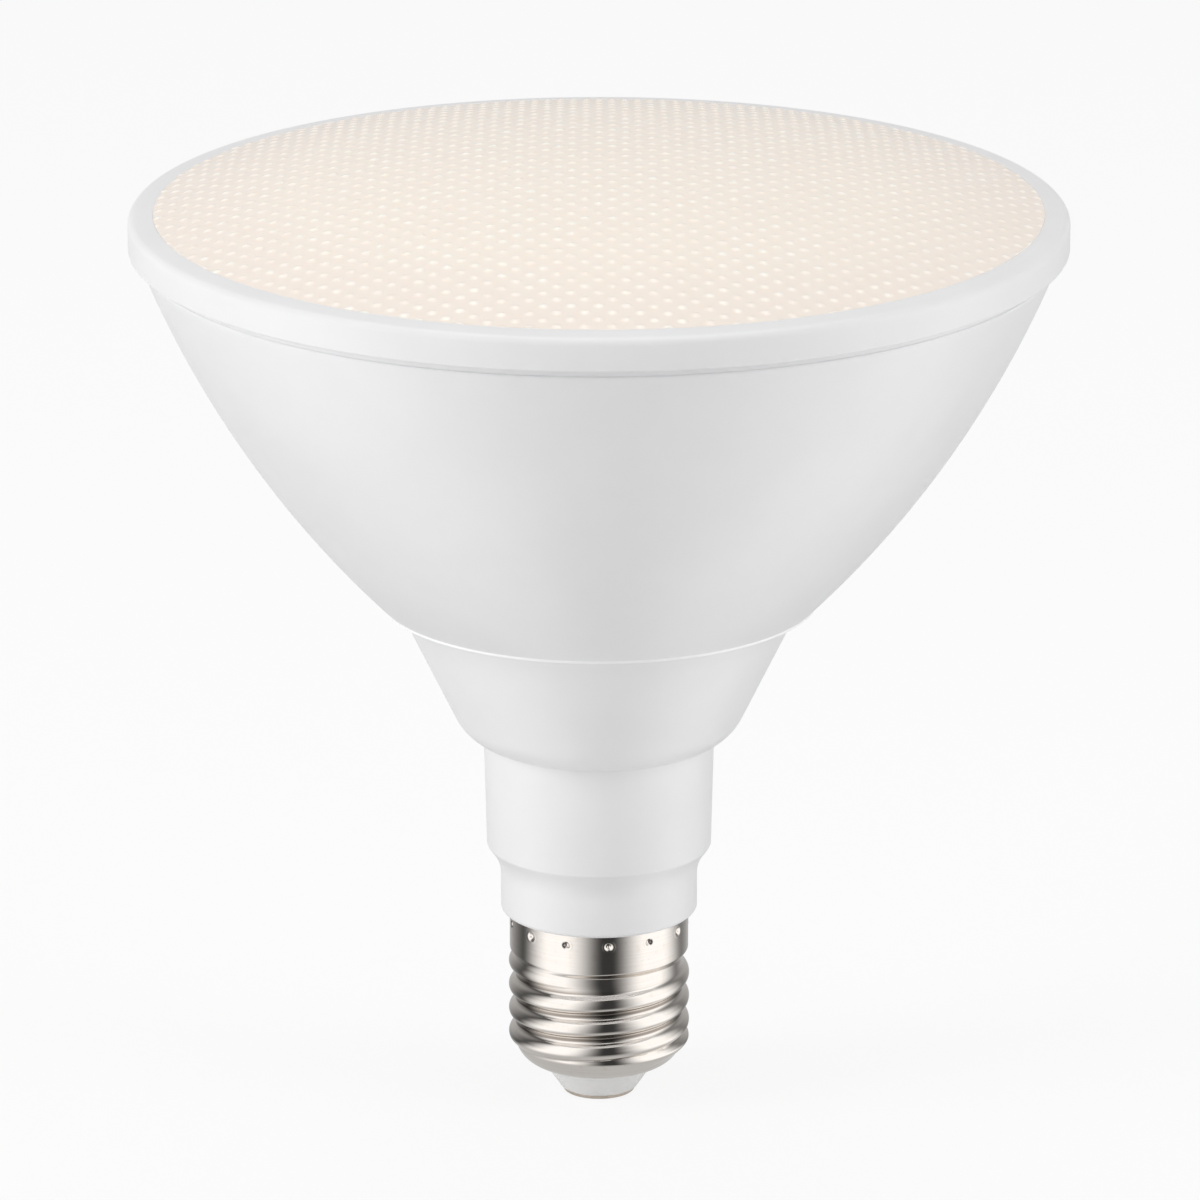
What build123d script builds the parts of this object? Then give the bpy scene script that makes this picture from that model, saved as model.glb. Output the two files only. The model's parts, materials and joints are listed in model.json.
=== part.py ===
from build123d import *
import math
import os

# An LED reflector lamp with an E27 screw cap. It stands on its contact, lens up.
# All sizes are millimetres. Z runs along the lamp axis, from the contact tip to the lens.

# Screw cap
cap_h = 27.85
cap_crest_d = 26.2
cap_root_d = 24.2
cap_collar_d = 25.9
cap_collar_h = 5.9
cap_sheet = 0.5
cap_dome_r = 3.6
cap_dome_z = 4.7
cap_mouth_d = 14.8
thread_pitch = 3.629
thread_ridge_w = 3.2
thread_low_z = 8.95
thread_top_gap = 0.1

# Contact and its insulator
contact_d = 10.4
contact_t = 0.6
contact_stem_d = 3.0
contact_stem_rise = 0.8
insulator_d = 16.6
insulator_lip = 0.3
insulator_flange_d = 16.8
insulator_flange_t = 1.2

# Lower housing: small neck, step, neck, shoulder and funnel
small_neck_d = 28.4
small_neck_h = 5.5
small_neck_edge_r = 0.8
neck_step_h = 4.8
neck_step_lead = 0.5
neck_step_run = 2.8
neck_low_d = 32.4
neck_top_d = 33.2
neck_h = 15.95
shoulder_d = 41.6
shoulder_h = 3.7
funnel_top_h = 17.1
seam_step = 2.0
seam_edge = 0.5
seam_lip_w = 5.4
housing_wall = 2.0
small_neck_bore_d = 23.8
spigot_wall = 1.6
shelf_drop = 1.0

# Upper housing: a bowl that bulges by a shallow arc
seam_d = 62.2
bowl_h = 51.5
bowl_bulge = 3.2
collar_h = 3.0
collar_wall = 1.6
floor_t = 2.2
floor_hole_d = 34.0

# Bezel, seal and lens
rim_d = 133.4
rim_overhang = 1.6
groove_h = 1.1
bezel_h = 5.0
bezel_face_w = 3.6
bezel_face_drop = 0.45
bezel_edge_r = 1.2
bezel_skirt = 1.8
bezel_lip_t = 1.4
lens_dome = 7.8
lens_flange_t = 1.0
lens_flange_gap = 0.2
seal_t = 0.6
seal_w = 1.3

# Heat sink, reflector and light source
sink_wall = 1.6
sink_floor_t = 2.0
sink_h = 26.0
reflector_wall = 1.0
reflector_gap = 0.5
reflector_head_gap = 0.5
led_board_d = 38.0
led_board_t = 1.6
led_side = 3.0
led_h = 0.7
led_inner_ring_r = 7.0
led_inner_count = 6
led_outer_ring_r = 13.0
led_outer_count = 12
board_screw_ring_r = 16.6
board_screw_count = 3
board_screw_head_d = 4.4
board_screw_head_h = 1.4
board_screw_d = 2.5
board_screw_tip_gap = 0.3
housing_screw_count = 3
housing_screw_head_d = 5.4
housing_screw_head_h = 1.8
housing_screw_d = 2.9
housing_screw_grip = 8.0
boss_d = 5.2
boss_h = 12.0
boss_gap = 0.4

# Driver board and what is soldered to it
driver_board_t = 1.6
driver_board_edge_gap = 1.0
driver_board_head_gap = 3.5
rail_w = 1.2
rail_depth = 2.2
part_foot_gap = 3.0
part_gap = 1.4
bulk_capacitor_d = 10.0
bulk_capacitor_h = 14.0
capacitor_edge_r = 0.8
output_capacitor_d = 6.3
output_capacitor_h = 8.0
film_capacitor_size = (10.0, 5.0, 9.0)
bridge_size = (6.4, 2.4, 4.7)
chip_size = (4.0, 1.5, 5.0)
choke_d = 7.0
choke_h = 8.0
choke_waist = 1.2
choke_flange = 1.4
fuse_d = 3.5
fuse_l = 9.0
core_size = (13.0, 6.0, 12.0)
core_leg = 3.0
winding_wrap = 2.4
lead_d = 1.2
led_lead_x = 3.8
led_lead_grip = 6.0
led_lead_end = 0.3
neutral_lead_x = 9.6

# Clearances
fit_gap = 0.1
thread_sink = 0.2

# Heights along the axis, stacked from the contact tip
z_small_top = cap_h + small_neck_h
z_neck_low = z_small_top + neck_step_h
z_neck_top = z_neck_low + neck_h
z_shoulder = z_neck_top + shoulder_h
z_seam = z_shoulder + funnel_top_h
z_bowl_top = z_seam + bowl_h
z_bezel_low = z_bowl_top + groove_h
z_top = z_bezel_low + bezel_h
z_lip = z_top - bezel_lip_t
z_flange = z_lip - lens_flange_t
z_ledge = z_flange - seal_t
z_apex = z_top + lens_dome
z_shelf = z_neck_low - shelf_drop
z_sink = z_seam + floor_t
z_sink_floor = z_sink + sink_floor_t
z_led_board = z_sink_floor + led_board_t
z_driver_top = z_seam - driver_board_head_gap
z_insulator_top = cap_dome_z + cap_sheet + insulator_flange_t
z_stem_top = z_insulator_top + contact_stem_rise
z_collar_low = cap_h - cap_collar_h

# Radii that follow from the sizes above
rim_r = rim_d / 2
seam_r = seam_d / 2
bowl_top_r = rim_r - rim_overhang
lip_r = rim_r - bezel_face_w
skirt_r = rim_r - bezel_skirt
cap_root_r = cap_root_d / 2
cap_collar_r = cap_collar_d / 2
cap_taper = cap_collar_r - cap_root_r
collar_r = seam_r - seam_lip_w
neck_bore_r = neck_low_d / 2 - housing_wall
mouth_r = collar_r + fit_gap
spigot_r = cap_collar_r - cap_sheet - fit_gap
spigot_bore_r = spigot_r - spigot_wall
board_face_y = driver_board_t / 2
housing_screw_ring_r = collar_r - collar_wall - boss_gap - boss_d / 2

# The thread ends below the taper that leads to the cap's collar.
z_taper_low = z_collar_low - cap_taper
thread_h = z_taper_low - thread_top_gap - thread_ridge_w / 2 - thread_low_z


def at(radius, height):
    """Point of a lathe outline, in the half plane that holds the lamp axis."""
    return (radius, 0, height)


def lathe(*edges):
    """Solid turned about the lamp axis from a closed outline."""
    return revolve(make_face(edges), Axis.Z)


def ring(outer_r, inner_r, low, high):
    """Plain ring about the lamp axis."""
    return lathe(Polyline(at(inner_r, low), at(outer_r, low), at(outer_r, high), at(inner_r, high), close=True))


def post(radius, low, high, x=0.0, y=0.0):
    """Upright cylinder between two heights."""
    return Pos(x, y, low) * Cylinder(radius, high - low, align=(Align.CENTER, Align.CENTER, Align.MIN))


def around(shape, radius, count, start=0.0):
    """Copies of a shape on a circle about the lamp axis."""
    turns = [start + 360 * step / count for step in range(count)]
    return [Rot(0, 0, turn) * Pos(radius, 0, 0) * shape for turn in turns]


# The bowl's outline is one arc, so each layer inside it is an arc about the same centre.
chord = math.hypot(bowl_top_r - seam_r, bowl_h)
bowl_r = (chord**2 / 4 + bowl_bulge**2) / (2 * bowl_bulge)
bowl_centre_r = (bowl_top_r + seam_r) / 2 - (bowl_r - bowl_bulge) * bowl_h / chord
bowl_centre_z = (z_bowl_top + z_seam) / 2 + (bowl_r - bowl_bulge) * (bowl_top_r - seam_r) / chord


def bowl_at(inset, height):
    """Radius of the bowl at a height, for a layer that lies an inset inside its outer face."""
    return bowl_centre_r + math.sqrt((bowl_r - inset) ** 2 - (height - bowl_centre_z) ** 2)


def bowl_arc(inset, low, high):
    """Arc of one layer of the bowl between two heights."""
    heights = (low, (low + high) / 2, high)
    return ThreePointArc(*[at(bowl_at(inset, height), height) for height in heights])


sink_inset = housing_wall + fit_gap
reflector_inset = sink_inset + sink_wall + reflector_gap


def make_lens():
    """Domed moulded lens with a thin flange that the bezel holds down."""
    lens_r = lip_r - fit_gap
    flange_r = skirt_r - lens_flange_gap
    under_r = lens_r - (z_top - z_flange)
    sphere_r = (lens_r**2 + lens_dome**2) / (2 * lens_dome)
    under_rise = sphere_r - math.sqrt(sphere_r**2 - under_r**2)
    under_mid_r = under_r / 2
    under_mid_rise = under_rise - (sphere_r - math.sqrt(sphere_r**2 - under_mid_r**2))
    mid_rise = lens_dome - (sphere_r - math.sqrt(sphere_r**2 - lens_r**2 / 4))
    dome = ThreePointArc(at(lens_r, z_top), at(lens_r / 2, z_top + mid_rise), at(0, z_apex))
    under_apex = z_flange + under_rise
    under = ThreePointArc(at(0, under_apex), at(under_mid_r, z_flange + under_mid_rise), at(under_r, z_flange))
    edge = Polyline(
        at(under_r, z_flange),
        at(flange_r, z_flange),
        at(flange_r, z_lip),
        at(lens_r, z_lip),
        at(lens_r, z_top),
    )
    return lathe(dome, Line(at(0, z_apex), at(0, under_apex)), under, edge)


def make_bezel_ring():
    """Ring with a sloped face and a rounded edge that snaps over the bowl and holds the lens flange."""
    band = lathe(
        Polyline(
            at(lip_r, z_top),
            at(rim_r, z_top - bezel_face_drop),
            at(rim_r, z_bezel_low),
            at(skirt_r, z_bezel_low),
            at(skirt_r, z_lip),
            at(lip_r, z_lip),
            close=True,
        )
    )
    widest = band.edges().filter_by(GeomType.CIRCLE).group_by(SortBy.RADIUS)[-1]
    return fillet(widest.sort_by(Axis.Z)[-1], bezel_edge_r)


def make_lens_seal():
    """Flat seal between the bowl's ledge and the lens flange."""
    outer_r = skirt_r - lens_flange_gap
    return ring(outer_r, outer_r - seal_w, z_ledge, z_flange)


def make_upper_housing():
    """Bowl with a spigot for the bezel, a floor for the heat sink and a collar for the funnel."""
    spigot_top_r = skirt_r - fit_gap
    bore_top_r = bowl_at(housing_wall, z_bowl_top)
    top = Polyline(
        at(bore_top_r, z_bowl_top),
        at(bore_top_r, z_ledge),
        at(spigot_top_r, z_ledge),
        at(spigot_top_r, z_bowl_top),
        at(bowl_top_r, z_bowl_top),
    )
    bottom = Polyline(
        at(seam_r, z_seam),
        at(collar_r, z_seam),
        at(collar_r, z_seam - collar_h),
        at(collar_r - collar_wall, z_seam - collar_h),
        at(collar_r - collar_wall, z_seam),
        at(floor_hole_d / 2, z_seam),
        at(floor_hole_d / 2, z_sink),
        at(bowl_at(housing_wall, z_sink), z_sink),
    )
    outer = bowl_arc(0, z_seam, z_bowl_top)
    inner = bowl_arc(housing_wall, z_sink, z_bowl_top)
    hole = post(housing_screw_d / 2 + fit_gap, z_seam, z_sink)
    return lathe(top, outer, bottom, inner) - around(hole, housing_screw_ring_r, housing_screw_count)


def make_lower_housing():
    """Funnel, neck and cap spigot in one moulding, with screw bosses and rails for the driver board."""
    funnel_r = seam_r - seam_step
    funnel = Line(at(funnel_r - seam_edge / 2, z_seam - seam_edge), at(shoulder_d / 2, z_shoulder))
    shoulder = TangentArc(funnel @ 1, at(neck_top_d / 2, z_neck_top), tangent=funnel % 1)
    neck = Line(at(neck_top_d / 2, z_neck_top), at(neck_low_d / 2, z_neck_low))
    step = Bezier(
        at(neck_low_d / 2, z_neck_low),
        at(neck_low_d / 2, z_neck_low - neck_step_lead),
        at(small_neck_d / 2, z_small_top + neck_step_run),
        at(small_neck_d / 2, z_small_top),
    )
    small = Line(at(small_neck_d / 2, z_small_top), at(small_neck_d / 2, cap_h + small_neck_edge_r))
    small_edge = TangentArc(small @ 1, at(small_neck_d / 2 - small_neck_edge_r, cap_h), tangent=small % 1)
    z_spigot = z_collar_low + cap_sheet
    z_collar_seat = z_seam - collar_h - fit_gap
    inside = Polyline(
        small_edge @ 1,
        at(spigot_r, cap_h),
        at(spigot_r, z_spigot),
        at(spigot_bore_r, z_spigot),
        at(spigot_bore_r, cap_h),
        at(small_neck_bore_d / 2, cap_h + spigot_wall),
        at(small_neck_bore_d / 2, z_shelf),
        at(neck_bore_r, z_shelf),
        at(neck_bore_r, z_neck_top + housing_wall / 2),
        at(shoulder_d / 2 - housing_wall, z_shoulder),
        at(mouth_r, z_collar_seat),
        at(mouth_r, z_seam),
        at(funnel_r - seam_edge, z_seam),
        funnel @ 0,
    )
    shell = lathe(funnel, shoulder, neck, step, small, small_edge, inside)

    # Screw bosses stand on the funnel's inner wall, and stay inside its outer face.
    envelope = lathe(
        Polyline(
            at(0, z_seam),
            at(mouth_r, z_seam),
            at(mouth_r, z_collar_seat),
            at(shoulder_d / 2 - housing_wall / 2, z_shoulder),
            at(0, z_shoulder),
            close=True,
        )
    )
    hole_low = z_seam - housing_screw_grip - fit_gap
    boss = post(boss_d / 2, z_seam - boss_h, z_seam) - post(housing_screw_d / 2 + fit_gap, hole_low, z_seam)
    for column in around(boss, housing_screw_ring_r, housing_screw_count):
        shell += column & envelope

    # Two pairs of rails hold the driver board's long edges.
    rail = Pos(neck_bore_r - rail_depth, board_face_y + fit_gap, z_shelf) * Box(
        rail_depth + housing_wall / 2,
        rail_w,
        z_neck_top - z_shelf,
        align=(Align.MIN, Align.MIN, Align.MIN),
    )
    pair = [rail, mirror(rail, Plane.XZ)]
    return shell + pair + [mirror(side, Plane.YZ) for side in pair]


def make_heat_sink():
    """Pressed aluminium cup that lines the bowl, with a flat floor for the light source."""
    z_sink_top = z_seam + sink_h
    outer = bowl_arc(sink_inset, z_sink, z_sink_top)
    inner = bowl_arc(sink_inset + sink_wall, z_sink_floor, z_sink_top)
    foot = Polyline(
        outer @ 0,
        at(0, z_sink),
        at(0, z_sink_floor),
        inner @ 0,
    )
    cup = lathe(outer, Line(outer @ 1, inner @ 1), inner, foot)
    screw_hole = post(board_screw_d / 2 + fit_gap, z_sink, z_sink_floor)
    through_hole = post(housing_screw_d / 2 + fit_gap, z_sink, z_sink_floor)
    lead_hole = post(lead_d, z_sink, z_sink_floor)
    lead_y = board_face_y + lead_d / 2
    cup -= around(screw_hole, board_screw_ring_r, board_screw_count, board_screw_turn())
    cup -= around(through_hole, housing_screw_ring_r, housing_screw_count)
    return cup - [Pos(side * led_lead_x, lead_y, 0) * lead_hole for side in (-1, 1)]


def make_reflector():
    """Thin bowl that stands on the heat sink's floor and ends just under the lens seal."""
    z_head = z_ledge - reflector_head_gap
    outer = bowl_arc(reflector_inset, z_sink_floor, z_head)
    inner = bowl_arc(reflector_inset + reflector_wall, z_sink_floor, z_head)
    return lathe(outer, Line(outer @ 1, inner @ 1), inner, Line(inner @ 0, outer @ 0))


def board_screw_turn():
    """Angle that puts the board screws midway between lamps of the outer ring."""
    return 180 / led_outer_count


def make_led_board():
    """Round metal-core board, drilled for its screws and leads and notched past the housing screws."""
    board = ring(led_board_d / 2, 0, z_sink_floor, z_led_board)
    screw_hole = post(board_screw_d / 2 + fit_gap, z_sink_floor, z_led_board)
    lead_hole = post(lead_d / 2 + fit_gap, z_sink_floor, z_led_board)
    notch = post(housing_screw_head_d / 2 + fit_gap, z_sink_floor, z_led_board)
    lead_y = board_face_y + lead_d / 2
    board -= around(screw_hole, board_screw_ring_r, board_screw_count, board_screw_turn())
    board -= around(notch, housing_screw_ring_r, housing_screw_count)
    return board - [Pos(side * led_lead_x, lead_y, 0) * lead_hole for side in (-1, 1)]


def make_led_packages():
    """Square light sources in rings on the board."""
    chip = Pos(0, 0, z_led_board) * Box(led_side, led_side, led_h, align=(Align.CENTER, Align.CENTER, Align.MIN))
    inner = around(chip, led_inner_ring_r, led_inner_count)
    outer = around(chip, led_outer_ring_r, led_outer_count)
    return [chip, *inner, *outer]


def make_board_screws():
    """Screws that hold the light source's board to the heat sink."""
    shank = post(board_screw_d / 2, z_sink + board_screw_tip_gap, z_led_board)
    head = post(board_screw_head_d / 2, z_led_board, z_led_board + board_screw_head_h)
    return around(shank + head, board_screw_ring_r, board_screw_count, board_screw_turn())


def make_housing_screws():
    """Screws that pull heat sink and bowl down on the funnel's bosses."""
    shank = post(housing_screw_d / 2, z_seam - housing_screw_grip, z_sink_floor)
    head = post(housing_screw_head_d / 2, z_sink_floor, z_sink_floor + housing_screw_head_h)
    return around(shank + head, housing_screw_ring_r, housing_screw_count)


def make_driver_board():
    """Upright circuit board that stands on the neck's shelf, between the rails."""
    width = 2 * (neck_bore_r - driver_board_edge_gap)
    height = z_driver_top - z_shelf
    return Pos(0, 0, z_shelf) * Box(width, driver_board_t, height, align=(Align.CENTER, Align.CENTER, Align.MIN))


def block_on_board(size, side, x, low):
    """Block with its back on one face of the driver board, side +1 for +Y and -1 for -Y."""
    width, depth, height = size
    place = Pos(x, side * (board_face_y + depth / 2), low)
    return place * Box(width, depth, height, align=(Align.CENTER, Align.CENTER, Align.MIN))


def can_on_board(diameter, height, x, low):
    """Upright capacitor can that lies against the +Y face of the driver board."""
    can = post(diameter / 2, low, low + height)
    can = fillet(can.edges().filter_by(GeomType.CIRCLE), capacitor_edge_r)
    return Pos(x, board_face_y + diameter / 2, 0) * can


# Places along the driver board, from its foot up
z_parts = z_shelf + part_foot_gap
z_bulk = z_parts + bridge_size[2] + part_gap
z_upper_parts = z_bulk + bulk_capacitor_h + part_gap
z_film = z_parts + fuse_d + part_gap
z_core = z_film + film_capacitor_size[2] + part_gap

# Places across the driver board, clear of the leads and of the tall capacitor
lead_side = led_lead_x + lead_d / 2 + part_gap
choke_x = -lead_side - choke_d / 2
output_capacitor_x = lead_side + output_capacitor_d / 2
chip_x = bulk_capacitor_d / 2 + part_gap + chip_size[0] / 2


def make_choke():
    """Drum-core inductor: two flanges and a wound waist."""
    waist_r = choke_d / 2 - choke_waist
    drum = post(choke_d / 2, 0, choke_flange) + post(waist_r, 0, choke_h)
    drum += post(choke_d / 2, choke_h - choke_flange, choke_h)
    return Pos(choke_x, board_face_y + choke_d / 2, z_upper_parts) * drum


def make_fuse_resistor():
    """Axial fusible resistor that lies across the -Y face of the driver board."""
    body = Rot(0, 90, 0) * Cylinder(fuse_d / 2, fuse_l)
    return Pos(0, -board_face_y - fuse_d / 2, z_parts + fuse_d / 2) * body


def make_transformer_core():
    """Ferrite frame round the transformer's winding."""
    width, depth, height = core_size
    frame = block_on_board(core_size, -1, 0, z_core)
    window = (width - 2 * core_leg, depth, height - 2 * core_leg)
    return frame - block_on_board(window, -1, 0, z_core + core_leg)


def make_transformer_winding():
    """Winding that fills the core's window and bulges out of it, away from the board."""
    width, depth, height = core_size
    window_w = width - 2 * core_leg - 2 * fit_gap
    window_h = height - 2 * core_leg - 2 * fit_gap
    low = z_core + core_leg + fit_gap
    coil = block_on_board((window_w, depth + winding_wrap, window_h), -1, 0, low)
    upright = coil.edges().filter_by(Axis.Z)
    outer = upright.sort_by(Axis.Y)[:2]
    return fillet(outer, winding_wrap / 2)


def make_live_lead():
    """Wire from the contact's stem up to the driver board."""
    return post(lead_d / 2, z_stem_top, z_shelf)


def make_neutral_lead():
    """Wire from the shell's rounded bottom up to the driver board."""
    reach = neutral_lead_x + lead_d / 2 - (cap_root_r - cap_dome_r)
    drop = math.sqrt((cap_dome_r - cap_sheet) ** 2 - reach**2)
    z_foot = cap_dome_z + cap_dome_r - drop + fit_gap
    return post(lead_d / 2, z_foot, z_shelf, x=neutral_lead_x)


def make_led_lead(side):
    """Wire from the driver board's upper end through heat sink and light source board."""
    x = side * led_lead_x
    y = board_face_y + lead_d / 2
    return post(lead_d / 2, z_driver_top - led_lead_grip, z_led_board + led_lead_end, x, y)


def make_screw_shell():
    """Sheet-metal cap shell with a plain collar, a rolled thread and a rounded bottom."""
    z_round = cap_dome_z + cap_dome_r
    round_r = cap_root_r - cap_dome_r
    corner = math.sqrt(0.5)
    inner_round = cap_dome_r - cap_sheet
    outer_side = Polyline(
        at(cap_collar_r, cap_h),
        at(cap_collar_r, z_collar_low),
        at(cap_root_r, z_taper_low),
        at(cap_root_r, z_round),
    )
    outer_round = ThreePointArc(
        at(cap_root_r, z_round),
        at(round_r + cap_dome_r * corner, z_round - cap_dome_r * corner),
        at(round_r, cap_dome_z),
    )
    mouth = Polyline(
        at(round_r, cap_dome_z),
        at(cap_mouth_d / 2, cap_dome_z),
        at(cap_mouth_d / 2, cap_dome_z + cap_sheet),
        at(round_r, cap_dome_z + cap_sheet),
    )
    inner_arc = ThreePointArc(
        at(round_r, cap_dome_z + cap_sheet),
        at(round_r + inner_round * corner, z_round - inner_round * corner),
        at(cap_root_r - cap_sheet, z_round),
    )
    inner_side = Polyline(
        at(cap_root_r - cap_sheet, z_round),
        at(cap_root_r - cap_sheet, z_taper_low),
        at(cap_collar_r - cap_sheet, z_collar_low),
        at(cap_collar_r - cap_sheet, cap_h),
        at(cap_collar_r, cap_h),
    )
    shell = lathe(outer_side, outer_round, mouth, inner_arc, inner_side)
    return shell + make_thread()


def make_thread():
    """Round-crested ridge that winds up the shell, right-handed."""
    ridge_h = cap_crest_d / 2 - cap_root_r
    path = Helix(pitch=thread_pitch, height=thread_h, radius=cap_root_r)
    foot = Plane(origin=(cap_root_r, 0, 0), x_dir=(1, 0, 0), z_dir=(0, -1, 0))
    low = (-thread_sink, -thread_ridge_w / 2)
    high = (-thread_sink, thread_ridge_w / 2)
    crest = ThreePointArc(low, (ridge_h, 0), high)
    ridge = sweep(foot * make_face([crest, Line(high, low)]), path=path, is_frenet=True)
    return Rot(0, 0, 180) * Pos(0, 0, thread_low_z) * ridge


def make_base_insulator():
    """Insulating button riveted into the shell's mouth, coned down to the contact."""
    stem_hole_r = contact_stem_d / 2 + fit_gap
    waist_r = cap_mouth_d / 2 - fit_gap
    z_flange_low = cap_dome_z + cap_sheet
    return lathe(
        Polyline(
            at(stem_hole_r, contact_t),
            at(contact_d / 2 + insulator_lip, contact_t),
            at(insulator_d / 2, cap_dome_z),
            at(waist_r, cap_dome_z),
            at(waist_r, z_flange_low),
            at(insulator_flange_d / 2, z_flange_low),
            at(insulator_flange_d / 2, z_insulator_top),
            at(stem_hole_r, z_insulator_top),
            close=True,
        )
    )


def make_centre_contact():
    """Contact disc with a stem that carries the live lead."""
    disc = post(contact_d / 2, 0, contact_t)
    disc = chamfer(disc.edges().group_by(Axis.Z)[0], contact_t / 2)
    return disc + post(contact_stem_d / 2, contact_t, z_stem_top)


pieces = {
    "screw_shell": make_screw_shell(),
    "base_insulator": make_base_insulator(),
    "centre_contact": make_centre_contact(),
    "lower_housing": make_lower_housing(),
    "upper_housing": make_upper_housing(),
    "bezel_ring": make_bezel_ring(),
    "lens_seal": make_lens_seal(),
    "lens": make_lens(),
    "heat_sink": make_heat_sink(),
    "reflector": make_reflector(),
    "led_board": make_led_board(),
    "led_packages": Compound(make_led_packages()),
    "board_screws": Compound(make_board_screws()),
    "housing_screws": Compound(make_housing_screws()),
    "driver_board": make_driver_board(),
    "bulk_capacitor": can_on_board(bulk_capacitor_d, bulk_capacitor_h, 0, z_bulk),
    "output_capacitor": can_on_board(output_capacitor_d, output_capacitor_h, output_capacitor_x, z_upper_parts),
    "film_capacitor": block_on_board(film_capacitor_size, -1, 0, z_film),
    "bridge_rectifier": block_on_board(bridge_size, 1, 0, z_parts),
    "controller_chip": block_on_board(chip_size, 1, chip_x, z_bulk),
    "choke": make_choke(),
    "fuse_resistor": make_fuse_resistor(),
    "transformer_core": make_transformer_core(),
    "transformer_winding": make_transformer_winding(),
    "live_lead": make_live_lead(),
    "neutral_lead": make_neutral_lead(),
    "led_lead_positive": make_led_lead(1),
    "led_lead_negative": make_led_lead(-1),
}

os.makedirs("parts", exist_ok=True)
for name, shape in pieces.items():
    export_step(shape, f"parts/{name}.step")
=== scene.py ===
"""A reflector spotlight bulb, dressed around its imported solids."""

import json
import logging
import math
from dataclasses import dataclass
from enum import Enum
from typing import Any, Sequence

import bmesh
import bpy
import numpy as np
from mathutils import Matrix, Vector
from mathutils.geometry import delaunay_2d_cdt, interpolate_bezier


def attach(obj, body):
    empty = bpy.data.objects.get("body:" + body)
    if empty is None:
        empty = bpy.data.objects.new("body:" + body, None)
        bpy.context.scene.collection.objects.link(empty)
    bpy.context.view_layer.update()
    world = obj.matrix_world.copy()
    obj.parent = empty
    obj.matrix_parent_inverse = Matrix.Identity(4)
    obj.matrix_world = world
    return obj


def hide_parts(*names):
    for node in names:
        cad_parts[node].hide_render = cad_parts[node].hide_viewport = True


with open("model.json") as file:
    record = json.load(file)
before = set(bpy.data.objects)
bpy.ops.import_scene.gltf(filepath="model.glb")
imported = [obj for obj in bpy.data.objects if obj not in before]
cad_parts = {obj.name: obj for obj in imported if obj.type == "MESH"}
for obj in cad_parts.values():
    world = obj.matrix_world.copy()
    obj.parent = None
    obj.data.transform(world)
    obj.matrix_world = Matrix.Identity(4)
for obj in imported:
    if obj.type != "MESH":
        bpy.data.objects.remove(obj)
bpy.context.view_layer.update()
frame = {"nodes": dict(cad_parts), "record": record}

LOG = logging.getLogger("spotlight_bulb")
MM = 0.001
BODY = "root"

# A full turn in radians, and half a turn in degrees
TURN = 2 * math.pi
HALF_TURN = 180.0

# Lengths in millimetres that pieces or finishes share
RIM_HEIGHT = 132.5
FLANGE_TOP = 131.1
SEAM_HEIGHT = 74.9
CAP_TOP = 27.85
CAP_BOTTOM = 4.7
THREAD_ROOT = 12.1
LENS_GRID = 3.77

# Length below which points count as one, and the mode that fills the inside of given edges
NEAR = 1e-6
INSIDE_EDGES = 1

# Angles in degrees from which an edge stays sharp, on plain pieces and on those with relief
SHARP = 35.0
SHARP_RELIEF = 50.0

# Noise and patterns that several finishes share
CLOUD_DETAIL = 3.0
BRUSH_STRETCH = (12.0, 12.0, 0.25)
PRINT_EDGE = (0.04, 0.1)

# A pair, x, y and z, a corner's radius, height and rounding, and red, green and blue
Point = tuple[float, float]
Axes = tuple[float, float, float]
Corner = tuple[float, float, float]
Colour = tuple[float, float, float]


class Value:
    """A shader socket that can stand in sums. Each operator adds one Math node."""

    def __init__(self, graph: "Graph", socket: bpy.types.NodeSocket) -> None:
        """Wrap one socket of a graph."""
        self.graph = graph
        self.socket = socket

    def _math(self, operation: str, left: "Value | float", right: "Value | float") -> "Value":
        """Add one Math node and return its result."""
        return self.graph.node("ShaderNodeMath", {"operation": operation}, {0: left, 1: right})

    def __add__(self, other: "Value | float") -> "Value":
        """Sum."""
        return self._math("ADD", self, other)

    def __radd__(self, other: "Value | float") -> "Value":
        """Sum with a number on the left."""
        return self._math("ADD", other, self)

    def __sub__(self, other: "Value | float") -> "Value":
        """Difference."""
        return self._math("SUBTRACT", self, other)

    def __rsub__(self, other: "Value | float") -> "Value":
        """Difference with a number on the left."""
        return self._math("SUBTRACT", other, self)

    def __mul__(self, other: "Value | float") -> "Value":
        """Product."""
        return self._math("MULTIPLY", self, other)

    def __rmul__(self, other: "Value | float") -> "Value":
        """Product with a number on the left."""
        return self._math("MULTIPLY", other, self)

    def size(self) -> "Value":
        """Value without its sign."""
        return self._math("ABSOLUTE", self, 0.0)

    def cosine(self) -> "Value":
        """Cosine of an angle in radians."""
        return self._math("COSINE", self, 0.0)

    def at_least(self, other: "Value | float") -> "Value":
        """The larger of two values."""
        return self._math("MAXIMUM", self, other)

    def between(self, low: float, high: float) -> "Value":
        """Smooth step from 0 at low to 1 at high."""
        inputs = {"Value": self, "From Min": low, "From Max": high}
        return self.graph.node("ShaderNodeMapRange", {"interpolation_type": "SMOOTHSTEP"}, inputs)

    def spread(self, ends: Point) -> "Value":
        """A value from 0 to 1, spread over the span between two ends."""
        return ends[0] + (ends[1] - ends[0]) * self


Input = Value | float | Sequence[float]


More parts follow.
